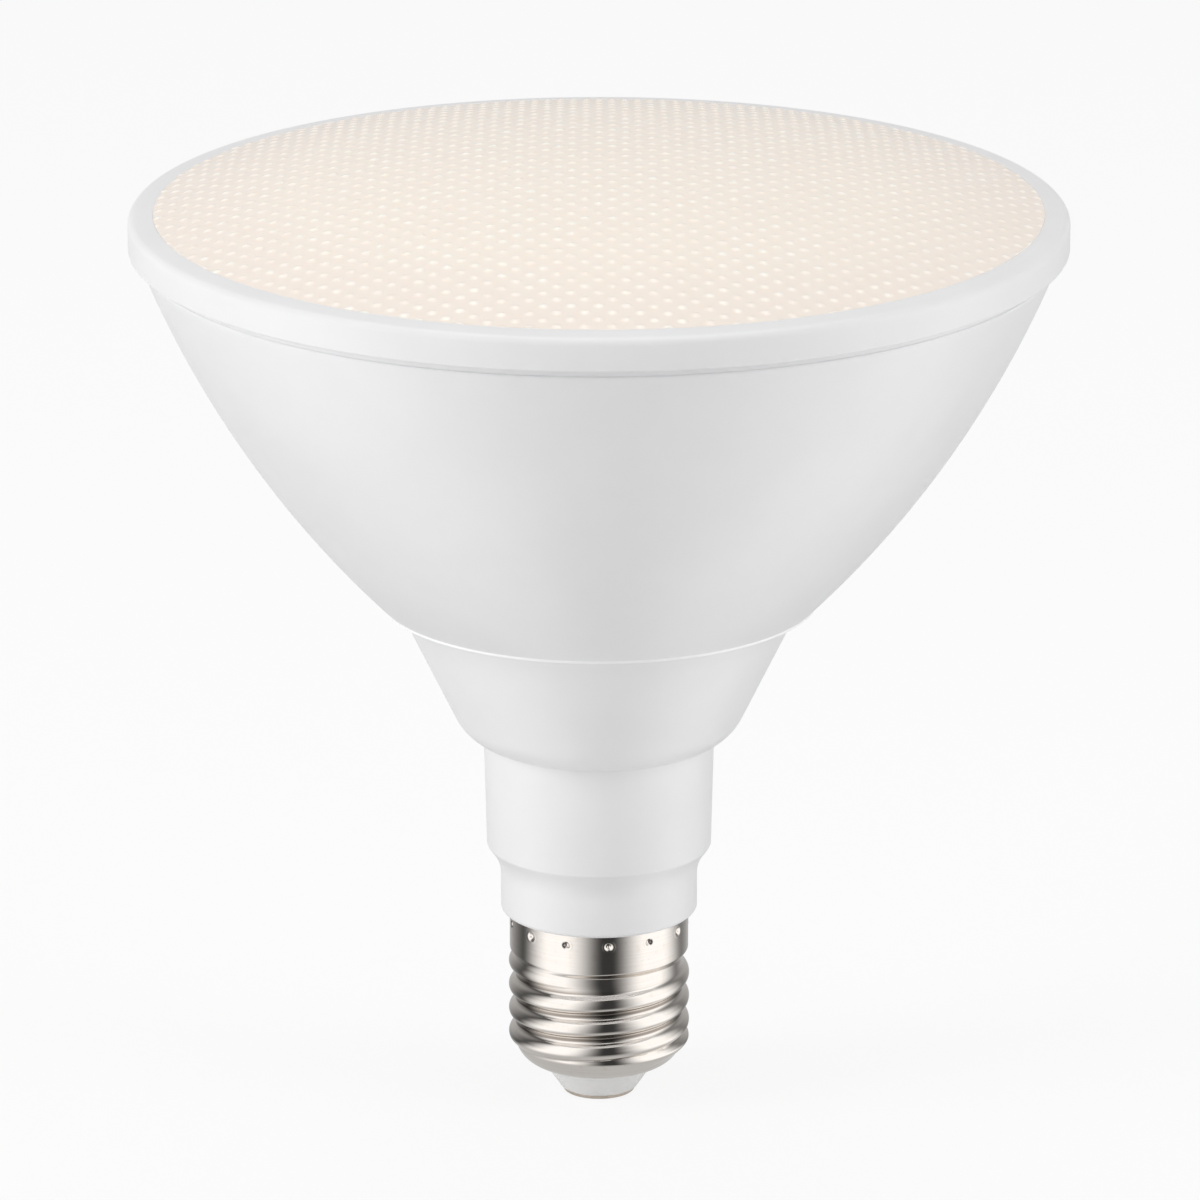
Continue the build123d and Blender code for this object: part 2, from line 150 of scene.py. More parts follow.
class Graph:
    """The node tree of one material or of the world."""

    def __init__(self, tree: bpy.types.NodeTree) -> None:
        """Take over a tree and empty it."""
        tree.nodes.clear()
        self.tree = tree

    def node(
        self,
        kind: str,
        settings: dict[str, Any] | None = None,
        inputs: dict[str | int, Input] | None = None,
        output: str | int = 0,
    ) -> Value:
        """Add one node.

        Args:
            kind: type name of the node.
            settings: its attributes, set before its sockets.
            inputs: values or links of its sockets, by index, name or identifier.
            output: the output socket that is wanted.

        Returns:
            That output, or the first input of a node that has no outputs.
        """
        made = self.tree.nodes.new(kind)
        for key, setting in (settings or {}).items():
            setattr(made, key, setting)
        for key, value in (inputs or {}).items():
            socket = self._socket(made.inputs, key)
            if isinstance(value, Value):
                self.tree.links.new(value.socket, socket)
            else:
                socket.default_value = value
        return Value(self, self._socket(made.outputs or made.inputs, output))

    @staticmethod
    def _socket(sockets: Any, key: str | int) -> bpy.types.NodeSocket:
        """Find a socket.

        Args:
            sockets: the inputs or outputs of a node.
            key: index, identifier or name.

        Returns:
            The socket.
        """
        if isinstance(key, int):
            return sockets[key]
        return next((one for one in sockets if one.identifier == key), None) or sockets[key]

    def scaled(self, vector: Value, scale: Sequence[float]) -> Value:
        """Vector with each axis multiplied."""
        return self.node("ShaderNodeVectorMath", {"operation": "MULTIPLY"}, {0: vector, 1: scale})

    def length(self, vector: Value) -> Value:
        """Length of a vector."""
        return self.node("ShaderNodeVectorMath", {"operation": "LENGTH"}, {0: vector}, "Value")

    def place(self, stretch: Axes = (1.0, 1.0, 1.0)) -> Value:
        """Object coordinates in millimetres, each axis divided by its stretch."""
        here = self.node("ShaderNodeTexCoord", output="Object")
        return self.scaled(here, tuple(1 / (MM * axis) for axis in stretch))

    def axis(self, place: Value, name: str) -> Value:
        """One coordinate of a place."""
        return self.node("ShaderNodeSeparateXYZ", None, {0: place}, name)

    def radius(self, place: Value) -> Value:
        """Distance of a place from the lamp's axis."""
        return self.length(self.scaled(place, (1.0, 1.0, 0.0)))

    def noise(self, place: Value, size: float, detail: float = 2.0) -> Value:
        """Cloudy noise with features of a size in the units of its place."""
        return self.node("ShaderNodeTexNoise", None, {"Vector": place, "Scale": 1 / size, "Detail": detail})

    def blend(self, low: Input, high: Input, factor: Value) -> Value:
        """Mix two colours.

        Args:
            low: colour where the factor is 0.
            high: colour where the factor is 1.
            factor: share of the second colour.

        Returns:
            The mixed colour.
        """
        low, high = [one if isinstance(one, Value) else (*one, 1.0) for one in (low, high)]
        inputs = {"Factor_Float": factor, "A_Color": low, "B_Color": high}
        return self.node("ShaderNodeMix", {"data_type": "RGBA"}, inputs, "Result_Color")

    def bump(self, height: Value, depth: float) -> Value:
        """Normal of a relief that is depth millimetres high."""
        return self.node("ShaderNodeBump", None, {"Distance": depth * MM, "Height": height})

    def surface(self, inputs: dict[str | int, Input]) -> None:
        """End the graph in one principled surface."""
        shader = self.node("ShaderNodeBsdfPrincipled", None, inputs)
        self.node("ShaderNodeOutputMaterial", None, {"Surface": shader})


def new_material(name: str) -> tuple[bpy.types.Material, Graph]:
    """Make an empty material.

    Args:
        name: its name.

    Returns:
        The material and the graph of its nodes.
    """
    material = bpy.data.materials.new(name)
    material.use_nodes = True
    return material, Graph(material.node_tree)


@dataclass(frozen=True)
class MouldedPlastic:
    """White satin plastic with a faint mould grain, slightly uneven gloss and a painted highlight, a paler
    band round the seam's parting edge.
    """

    name: str
    colour: Colour
    shade: Colour
    cloud: float = 16.0
    cloud_reach: Point = (0.3, 0.7)
    grain: float = 0.35
    grain_depth: float = 0.004
    gloss: Point = (0.34, 0.44)
    gloss_patches: float = 6.0
    # Painted highlight: a paler base colour in a band round the seam's height, where the parting edge
    # catches light
    edge: Colour = (0.97, 0.967, 0.975)
    seam_highlight_height: float = 75.1
    seam_highlight_reach: Point = (0.2, 0.35)

    def material(self) -> bpy.types.Material:
        """Make the finish.

        Returns:
            The plastic's material.
        """
        material, graph = new_material(self.name)
        place = graph.place()
        cloud = graph.noise(place, self.cloud, CLOUD_DETAIL)
        grain = graph.noise(place, self.grain)
        body = graph.blend(self.shade, self.colour, cloud.between(*self.cloud_reach))
        # Painted highlight: the base colour turns pale in a band round the seam's height
        away = (graph.axis(place, "Z") - self.seam_highlight_height).size().between(*self.seam_highlight_reach)
        graph.surface(
            {
                "Base Color": graph.blend(self.edge, body, away),
                "Roughness": graph.noise(place, self.cloud / self.gloss_patches).spread(self.gloss),
                "Normal": graph.bump(grain, self.grain_depth),
            }
        )
        return material


@dataclass(frozen=True)
class LensPlastic:
    """Cream diffusing plastic, glossy, with painted highlights on its small lenses, painted shade towards
    its rim and a painted glow.
    """

    name: str = "lens"
    colour: Colour = (0.90, 0.815, 0.73)
    # Painted shade: the colour darkens towards the lens's rim
    rim: Colour = (0.85, 0.77, 0.70)
    rim_shade_reach: Point = (40.0, 62.0)
    rim_shade_share: float = 0.8
    cloud: float = 9.0
    grain: float = 0.6
    grain_depth: float = 0.003
    gloss: Point = (0.16, 0.24)
    # Painted highlight: a paler colour on each small lens, unevenly strong, standing in for the light that
    # they catch
    lenslet_highlight: Colour = (0.98, 0.92, 0.855)
    lenslet_highlight_reach: Point = (0.5, 1.8)
    lenslet_highlight_cloud: float = 5.0
    lenslet_highlight_cloud_reach: Point = (0.3, 0.7)
    lenslet_highlight_level: Point = (0.15, 0.8)
    glow_depth: float = 0.5
    glow_radius: Colour = (1.0, 0.9, 0.8)
    # Painted glow: the lens gives off a little light in its own cream colour, though it is not lit
    glow: float = 0.125

    def _lenslet_highlights(self, graph: Graph, place: Value) -> Value:
        """Painted highlight on the small lenses.

        Args:
            graph: the finish's graph.
            place: object coordinates in millimetres.

        Returns:
            A share that is uneven from lens to lens, and zero between them.
        """
        x, y = graph.axis(place, "X"), graph.axis(place, "Y")
        waves = [(across * (TURN / LENS_GRID)).cosine() for across in (x + y, x - y)]
        uneven = graph.noise(place, self.lenslet_highlight_cloud).between(*self.lenslet_highlight_cloud_reach)
        return (waves[0] + waves[1]).between(*self.lenslet_highlight_reach) * uneven.spread(self.lenslet_highlight_level)

    def material(self) -> bpy.types.Material:
        """Make the finish.

        Returns:
            The lens material.
        """
        material, graph = new_material(self.name)
        place = graph.place()
        cloud = graph.noise(place, self.cloud, CLOUD_DETAIL)
        # Painted shade towards the rim, mixed with a random cloud of tone
        outward = graph.radius(place).between(*self.rim_shade_reach)
        rim = outward * self.rim_shade_share + cloud * (1 - self.rim_shade_share)
        flats = graph.blend(self.colour, self.rim, rim)
        graph.surface(
            {
                # Painted highlight on the small lenses, over the colour of the flats
                "Base Color": graph.blend(flats, self.lenslet_highlight, self._lenslet_highlights(graph, place)),
                "Roughness": cloud.spread(self.gloss),
                "Normal": graph.bump(graph.noise(place, self.grain), self.grain_depth),
                "Subsurface Weight": 1.0,
                "Subsurface Radius": self.glow_radius,
                "Subsurface Scale": self.glow_depth * MM,
                # Painted glow, though the lens is not lit
                "Emission Color": (*self.colour, 1.0),
                "Emission Strength": self.glow,
            }
        )
        return material


@dataclass(frozen=True)
class NickelPlate:
    """Bright nickel on rolled sheet: fine turning lines, scuffs, a warm cast and painted shade in the
    thread's valleys.
    """

    name: str = "nickel"
    bright: Colour = (0.74, 0.70, 0.66)
    warm: Colour = (0.66, 0.61, 0.555)
    warm_reach: Point = (0.25, 0.9)
    line_stretch: Axes = (14.0, 14.0, 0.22)
    line_share: float = 0.75
    line_depth: float = 0.001
    scuff: float = 1.1
    scuff_detail: float = 5.0
    scuff_reach: Point = (0.5, 0.8)
    gloss: Point = (0.06, 0.13)
    # Painted shade: a dark colour at the thread's root, only over the threaded part
    valley_shade: Colour = (0.27, 0.235, 0.205)
    valley_shade_radius: float = THREAD_ROOT
    valley_shade_reach: Point = (0.0, 0.08)
    thread_middle: float = 14.1
    thread_reach: Point = (4.2, 5.2)

    def material(self) -> bpy.types.Material:
        """Make the finish.

        Returns:
            The plated material.
        """
        material, graph = new_material(self.name)
        place = graph.place()
        lines = graph.noise(graph.place(self.line_stretch), 1.0, CLOUD_DETAIL)
        scuffs = graph.noise(place, self.scuff, self.scuff_detail).between(*self.scuff_reach)
        wear = lines * self.line_share + scuffs * (1 - self.line_share)
        plate = graph.blend(self.bright, self.warm, wear.between(*self.warm_reach))
        # Painted shade in the thread's valleys, dark near the root radius and only within the thread's
        # height
        away = (graph.radius(place) - self.valley_shade_radius).size().between(*self.valley_shade_reach)
        beyond = (graph.axis(place, "Z") - self.thread_middle).size().between(*self.thread_reach)
        graph.surface(
            {
                "Base Color": graph.blend(self.valley_shade, plate, away.at_least(beyond)),
                "Metallic": 1.0,
                "Roughness": wear.spread(self.gloss),
                "Normal": graph.bump(lines, self.line_depth),
            }
        )
        return material


class Pattern(Enum):
    """How a two-tone finish varies over its surface."""

    SPECKLE = "speckle"
    BRUSHED = "brushed"
    WOUND = "wound"
    PRINTED = "printed"


@dataclass(frozen=True)
class PatternFinish:
    """Two-tone finish for the insulator, the contact and the parts inside the lamp."""

    slot: str
    light: Colour
    dark: Colour
    pattern: Pattern = Pattern.SPECKLE
    size: float = 1.2
    rough: Point = (0.35, 0.55)
    metallic: float = 0.0
    depth: float = 0.01
    tone_reach: Point = (0.2, 0.8)

    def _mask(self, graph: Graph) -> Value:
        """Draw the pattern.

        Args:
            graph: the finish's graph.

        Returns:
            A value from 0 on the dark tone to 1 on the light one.
        """
        place = graph.place()
        inputs = {"Vector": place, "Scale": 1 / self.size}
        if self.pattern is Pattern.BRUSHED:
            return graph.noise(graph.place(BRUSH_STRETCH), 1.0, CLOUD_DETAIL)
        if self.pattern is Pattern.WOUND:
            return graph.node("ShaderNodeTexWave", {"bands_direction": "Z"}, inputs, "Fac")
        if self.pattern is Pattern.PRINTED:
            settings = {"feature": "DISTANCE_TO_EDGE", "distance": "MANHATTAN"}
            return graph.node("ShaderNodeTexVoronoi", settings, inputs, "Distance").between(*PRINT_EDGE)
        return graph.noise(place, self.size, CLOUD_DETAIL)

    def material(self) -> bpy.types.Material:
        """Make the finish.

        Returns:
            The two-tone material.
        """
        material, graph = new_material(self.slot)
        mask = self._mask(graph)
        graph.surface(
            {
                "Base Color": graph.blend(self.dark, self.light, mask.between(*self.tone_reach)),
                "Metallic": self.metallic,
                "Roughness": mask.spread(self.rough),
                "Normal": graph.bump(mask, self.depth),
            }
        )
        return material


def mesh_object(
    name: str, points: np.ndarray, faces: Sequence[Sequence[int]], sharp: float = SHARP
) -> bpy.types.Object:
    """Make a smooth-shaded mesh object.

    Args:
        name: name of the piece.
        points: vertices in millimetres.
        faces: vertex indices of each face.
        sharp: edges that turn by more than this many degrees stay sharp.

    Returns:
        The object, linked to the scene.
    """
    mesh = bpy.data.meshes.new(name)
    mesh.from_pydata((np.asarray(points) * MM).tolist(), [], faces)
    shape = bmesh.new()
    shape.from_mesh(mesh)
    bmesh.ops.recalc_face_normals(shape, faces=shape.faces)
    shape.to_mesh(mesh)
    shape.free()
    smooth(mesh, sharp)
    made = bpy.data.objects.new(name, mesh)
    bpy.context.scene.collection.objects.link(made)
    return made


def smooth(mesh: bpy.types.Mesh, sharp: float) -> None:
    """Shade a mesh smooth, apart from edges that turn by more than an angle in degrees."""
    mesh.polygons.foreach_set("use_smooth", [True] * len(mesh.polygons))
    mesh.set_sharp_from_angle(angle=math.radians(sharp))


def arc(centre: Vector, start: Vector, end: Vector, steps: int) -> list[Point]:
    """Draw the shorter arc between two points.

    Args:
        centre: middle of the arc's circle.
        start: first point.
        end: last point.
        steps: number of chords.

    Returns:
        The points of the arc, ends included.
    """
    first, last = start - centre, end - centre
    begin = math.atan2(first.y, first.x)
    sweep = math.atan2(first.x * last.y - first.y * last.x, first.dot(last))
    turns = [begin + sweep * step / steps for step in range(steps + 1)]
    reach = first.length
    return [(centre.x + reach * math.cos(turn), centre.y + reach * math.sin(turn)) for turn in turns]


def rounded(corners: Sequence[Corner], steps: int = 6) -> list[Point]:
    """Round the corners of a closed outline.

    Args:
        corners: radius, height and rounding of each corner.
        steps: points per rounded corner, less one.

    Returns:
        The points of the outline.
    """
    outline: list[Point] = []
    for index, (radius, height, rounding) in enumerate(corners):
        here = Vector((radius, height))
        if rounding <= 0:
            outline.append((radius, height))
            continue
        before = (Vector(corners[index - 1][:2]) - here).normalized()
        after = (Vector(corners[(index + 1) % len(corners)][:2]) - here).normalized()
        half = before.angle(after) / 2
        reach = rounding / math.tan(half)
        centre = here + (before + after).normalized() * rounding / math.sin(half)
        outline += arc(centre, here + before * reach, here + after * reach, steps)
    return outline


def circle(count: int) -> np.ndarray:
    """Points of a unit circle, each a row of x and y, from the X axis on."""
    turns = np.arange(count) * TURN / count
    return np.stack([np.cos(turns), np.sin(turns)], axis=1)


def rings(outline: Sequence[Point], segments: int, first: int = 0) -> tuple[np.ndarray, list[list[int]]]:
    """Set rings of vertices round the lamp's axis.

    Args:
        outline: radius and height of each ring; a ring on the axis is one point, a pole.
        segments: points to a ring.
        first: index of the first point.

    Returns:
        The points, and the indices of each ring's points.
    """
    spokes = circle(segments)
    points: list[Axes] = []
    rows: list[list[int]] = []
    for radius, height in outline:
        start = first + len(points)
        if radius < NEAR:
            points.append((0.0, 0.0, height))
            rows.append([start] * segments)
        else:
            points.extend((radius * x, radius * y, height) for x, y in spokes)
            rows.append(list(range(start, start + segments)))
    return np.array(points), rows


def bands(rows: Sequence[Sequence[int]]) -> list[list[int]]:
    """Join rings of vertices by faces.

    Args:
        rows: vertex indices of each ring, all as many; a pole repeats its index.

    Returns:
        The faces between each ring and the next, with three sides at a pole.
    """
    faces = []
    for low, high in zip(rows, rows[1:]):
        for here in range(len(low)):
            there = (here + 1) % len(low)
            loop = dict.fromkeys((low[here], low[there], high[there], high[here]))
            if len(loop) > 2:
                faces.append(list(loop))
    return faces


def lathe(name: str, outline: Sequence[Point], segments: int) -> bpy.types.Object:
    """Turn a closed outline, radius and height of each point, about the lamp's axis."""
    points, rows = rings(outline, segments)
    return mesh_object(name, points, bands(rows + rows[:1]))


class Join(Enum):
    """How a mesh is joined with others."""

    ADD = "UNION"
    CUT = "DIFFERENCE"
    KEEP = "INTERSECT"


def join(body: bpy.types.Object, tools: Sequence[bpy.types.Object], how: Join) -> None:
    """Join a mesh with others and remove them.

    Args:
        body: the mesh that is changed.
        tools: closed meshes that are used up.
        how: what the join keeps.
    """
    for tool in tools:
        step = body.modifiers.new(tool.name, "BOOLEAN")
        step.operation = how.value
        step.solver = "EXACT"
        step.object = tool
    bpy.context.view_layer.update()
    joined = body.evaluated_get(bpy.context.evaluated_depsgraph_get())
    body.data = bpy.data.meshes.new_from_object(joined)
    body.modifiers.clear()
    for tool in tools:
        bpy.data.objects.remove(tool)
    smooth(body.data, SHARP)


def fit(piece: bpy.types.Object, node: str, slot: str, finish: bpy.types.Material) -> None:
    """Put a finished piece in a node's place.

    Args:
        piece: the mesh object.
        node: the solid that it stands for.
        slot: the record's material slot; not used.
        finish: its material.
    """
    piece.data.materials.clear()
    piece.data.materials.append(finish)
    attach(piece, BODY)
    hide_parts(node)
    LOG.info("%s stands for %s, %d faces", piece.name, node, len(piece.data.polygons))


@dataclass
class Lens:
    """Domed cover with small round lenses on a square grid set on its corner, held by a flange."""

    radius: float = 63.09
    flange_radius: float = 64.7
    low: float = 130.1
    flange_top: float = FLANGE_TOP
    rim: float = RIM_HEIGHT
    dome: float = 7.8
    grid_diagonal: float = LENS_GRID
    bump_radius: float = 0.92
    bump_height: float = 0.17
    mesh_rings: tuple[tuple[float, int], ...] = ((0.0, 1), (0.3, 6), (0.6, 10), (0.9, 12), (1.12, 10))
    rim_gap: float = 0.15
    rim_points: int = 900
    under_shares: tuple[float, float, int] = (0.9, 0.1, 9)

    def _dome_height(self, radius: np.ndarray | float) -> np.ndarray | float:
        """Height of the plain dome at a radius."""
        sphere = (self.radius**2 + self.dome**2) / (2 * self.dome)
        return self.rim + self.dome - sphere + np.sqrt(sphere**2 - radius**2)

    def _centres(self) -> np.ndarray:
        """Set out the small lenses.

        Returns:
            Their middles, in rows along X that reach past the rim.
        """
        reach = self.radius + self.bump_radius
        row_step = self.grid_diagonal / 2
        rows = int(reach / row_step) + 1
        cols = int(reach / self.grid_diagonal) + 2
        places = [
            ((col + 0.5 * (row % 2)) * self.grid_diagonal, row * row_step)
            for row in range(-rows, rows + 1)
            for col in range(-cols, cols + 1)
        ]
        return np.array(places)

    def _places(self) -> np.ndarray:
        """Set out the mesh, seen from above.

        Returns:
            Points in rings on and round each small lens, inside the rim.
        """
        ring = np.concatenate([circle(count) * share for share, count in self.mesh_rings])
        places = (self._centres()[:, None] + ring[None] * self.bump_radius).reshape(-1, 2)
        return places[np.hypot(*places.T) < self.radius - self.rim_gap]

    def _bump(self, places: np.ndarray) -> np.ndarray:
        """Rise of the small lenses above the dome.

        Args:
            places: x and y of each point.

        Returns:
            The rise at each point, from the small lens that is nearest.
        """
        x, y = places.T
        row_step = self.grid_diagonal / 2
        nearest = np.full(len(places), self.bump_radius)
        low_row = np.floor(y / row_step)
        for row in (low_row, low_row + 1):
            shift = 0.5 * (row % 2)
            col = np.round(x / self.grid_diagonal - shift)
            away = np.hypot(x - (col + shift) * self.grid_diagonal, y - row * row_step)
            nearest = np.minimum(nearest, away)
        return self.bump_height * (0.5 + 0.5 * np.cos(math.pi * nearest / self.bump_radius))

    def _face(self) -> tuple[np.ndarray, list[list[int]], list[int]]:
        """Cover the dome and its small lenses with triangles.

        Returns:
            The points, the faces, and the indices of the points on the rim.
        """
        inner = self._places()
        flat = np.concatenate([inner, circle(self.rim_points) * self.radius])
        rim = list(range(len(inner), len(flat)))
        edges = list(zip(rim, rim[1:] + rim[:1]))
        places, _, faces, *_ = delaunay_2d_cdt([Vector(one) for one in flat], edges, [], INSIDE_EDGES, NEAR)
        flat = np.array([tuple(one) for one in places])
        radius = np.minimum(np.hypot(*flat.T), self.radius)
        height = self._dome_height(radius) + self._bump(flat)
        return np.column_stack([flat, height]), [list(face) for face in faces], rim

    def _underside(self) -> list[Point]:
        """Draw the flange and the vault below the dome.

        Returns:
            Radius and height of each ring, from the rim to the axis.
        """
        edge = self.radius - (self.rim - self.low)
        radii = edge * np.append(np.linspace(*self.under_shares), 0.0)
        vault = self.low + self._dome_height(radii) - self._dome_height(edge)
        flange = [(self.radius, self.flange_top), (self.flange_radius, self.flange_top)]
        flange += [(self.flange_radius, self.low), (edge, self.low)]
        return flange + list(zip(radii, vault))

    def build(self) -> bpy.types.Object:
        """Make the lens mesh.

        Returns:
            The closed mesh of dome, small lenses, flange and underside.
        """
        points, faces, rim = self._face()
        below, rows = rings(self._underside(), self.rim_points, len(points))
        faces += bands([rim, *rows])
        return mesh_object("lens_disc", np.concatenate([points, below]), faces, SHARP_RELIEF)

    def dress(self, finish: LensPlastic) -> None:
        """Build the lens and give it its plastic."""
        fit(self.build(), "lens", "lens", finish.material())


@dataclass
class Bezel:
    """Ring with a sloped face, a rounded edge and an upright band."""

    outer: float = 66.7
    lip: float = 63.1
    skirt: float = 64.9
    low: float = 127.5
    lip_low: float = FLANGE_TOP
    top: float = RIM_HEIGHT
    face_drop: float = 0.45
    edge: float = 1.2
    lip_edge: float = 0.08
    low_edge: float = 0.3
    corner_steps: int = 8
    segments: int = 480

    def build(self) -> bpy.types.Object:
        """Turn the ring.

        Returns:
            The ring's mesh.
        """
        corners = [
            (self.lip, self.top, self.lip_edge),
            (self.outer, self.top - self.face_drop, self.edge),
            (self.outer, self.low, self.low_edge),
            (self.skirt, self.low, 0.0),
            (self.skirt, self.lip_low, 0.0),
            (self.lip, self.lip_low, 0.0),
        ]
        return lathe("bezel_band", rounded(corners, self.corner_steps), self.segments)

    def dress(self, finish: bpy.types.Material) -> None:
        """Build the ring and give it its plastic."""
        fit(self.build(), "bezel_ring", "white_housing", finish)


@dataclass
class ScrewPlaces:
    """Where the three housing screws pass through bowl and funnel."""

    ring: float = 21.1
    count: int = 3
    hole: float = 1.55
    overcut: float = 1.0
    segments: int = 48

    def columns(self, name: str, radius: float, low: float, high: float) -> list[bpy.types.Object]:
        """Round columns at the screws, as tools for joins.

        Args:
            name: stem of the columns' names.
            radius: radius of each column.
            low: height of their feet.
            high: height of their heads.

        Returns:
            One column for each screw.
        """
        made = []
        for step in range(self.count):
            turn = TURN * step / self.count
            x, y = self.ring * math.cos(turn), self.ring * math.sin(turn)
            outline = [(0.0, low), (radius, low), (radius, high), (0.0, high)]
            column = lathe(f"{name}_{step}", outline, self.segments)
            column.data.transform(Matrix.Translation((x * MM, y * MM, 0.0)))
            made.append(column)
        return made


@dataclass
class Bowl:
    """Upper housing: an arched bowl with a floor, a collar below and a spigot for the bezel."""

    screws: ScrewPlaces
    top_radius: float = 65.1
    seam_radius: float = 31.1
    low: float = SEAM_HEIGHT
    high: float = 126.4
    bulge: float = 3.2
    wall: float = 2.0
    floor: float = 2.2
    floor_hole: float = 17.0
    floor_edge: float = 0.3
    collar: float = 25.7
    collar_wall: float = 1.6
    collar_height: float = 3.0
    spigot: float = 64.8
    spigot_top: float = 129.5
    land: float = 0.38
    land_edge: float = 0.12
    top_edge: float = 0.25
    edge: float = 0.2
    arc_steps: int = 56
    corner_steps: int = 5
    segments: int = 360

    def _wall_arc(self, inset: float, low: float, high: float) -> list[Corner]:
        """Draw the bowl's arc.

        Args:
            inset: how far inside the outer face the layer lies.
            low: height of the first point.
            high: height of the last point.

        Returns:
            Radius and height of each point, with no rounding.
        """
        width, height = self.top_radius - self.seam_radius, self.high - self.low
        chord = math.hypot(width, height)
        radius = (chord**2 / 4 + self.bulge**2) / (2 * self.bulge)
        centre_r = (self.top_radius + self.seam_radius) / 2 - (radius - self.bulge) * height / chord
        centre_z = (self.high + self.low) / 2 + (radius - self.bulge) * width / chord
        levels = np.linspace(low, high, self.arc_steps)
        radii = centre_r + np.sqrt((radius - inset) ** 2 - (levels - centre_z) ** 2)
        return [(float(out), float(level), 0.0) for out, level in zip(radii, levels)]

    def build(self) -> bpy.types.Object:
        """Turn the bowl and drill its floor.

        Returns:
            The drilled mesh.
        """
        outer = self._wall_arc(0.0, self.low + self.land, self.high)
        outer[-1] = (*outer[-1][:2], self.top_edge)
        inner = self._wall_arc(self.wall, self.low + self.floor, self.high)
        land_radius, bore = outer[0][0], inner[-1][0]
        floor_top, collar_low = self.low + self.floor, self.low - self.collar_height
        collar_bore = self.collar - self.collar_wall
        corners = [
            (land_radius, self.low, self.land_edge),
            *outer,
            (self.spigot, self.high, 0.0),
            (self.spigot, self.spigot_top, self.edge),
            (bore, self.spigot_top, self.edge),
            *reversed(inner),
            (self.floor_hole, floor_top, self.floor_edge),
            (self.floor_hole, self.low, self.floor_edge),
            (collar_bore, self.low, 0.0),
            (collar_bore, collar_low, self.edge),
            (self.collar, collar_low, self.edge),
            (self.collar, self.low, 0.0),
        ]
        bowl = lathe("bowl", rounded(corners, self.corner_steps), self.segments)
        over = self.screws.overcut
        holes = self.screws.columns("floor_hole", self.screws.hole, self.low - over, floor_top + over)
        join(bowl, holes, Join.CUT)
        return bowl

    def dress(self, finish: bpy.types.Material) -> None:
        """Build the bowl and give it its plastic."""
        fit(self.build(), "upper_housing", "white_housing", finish)


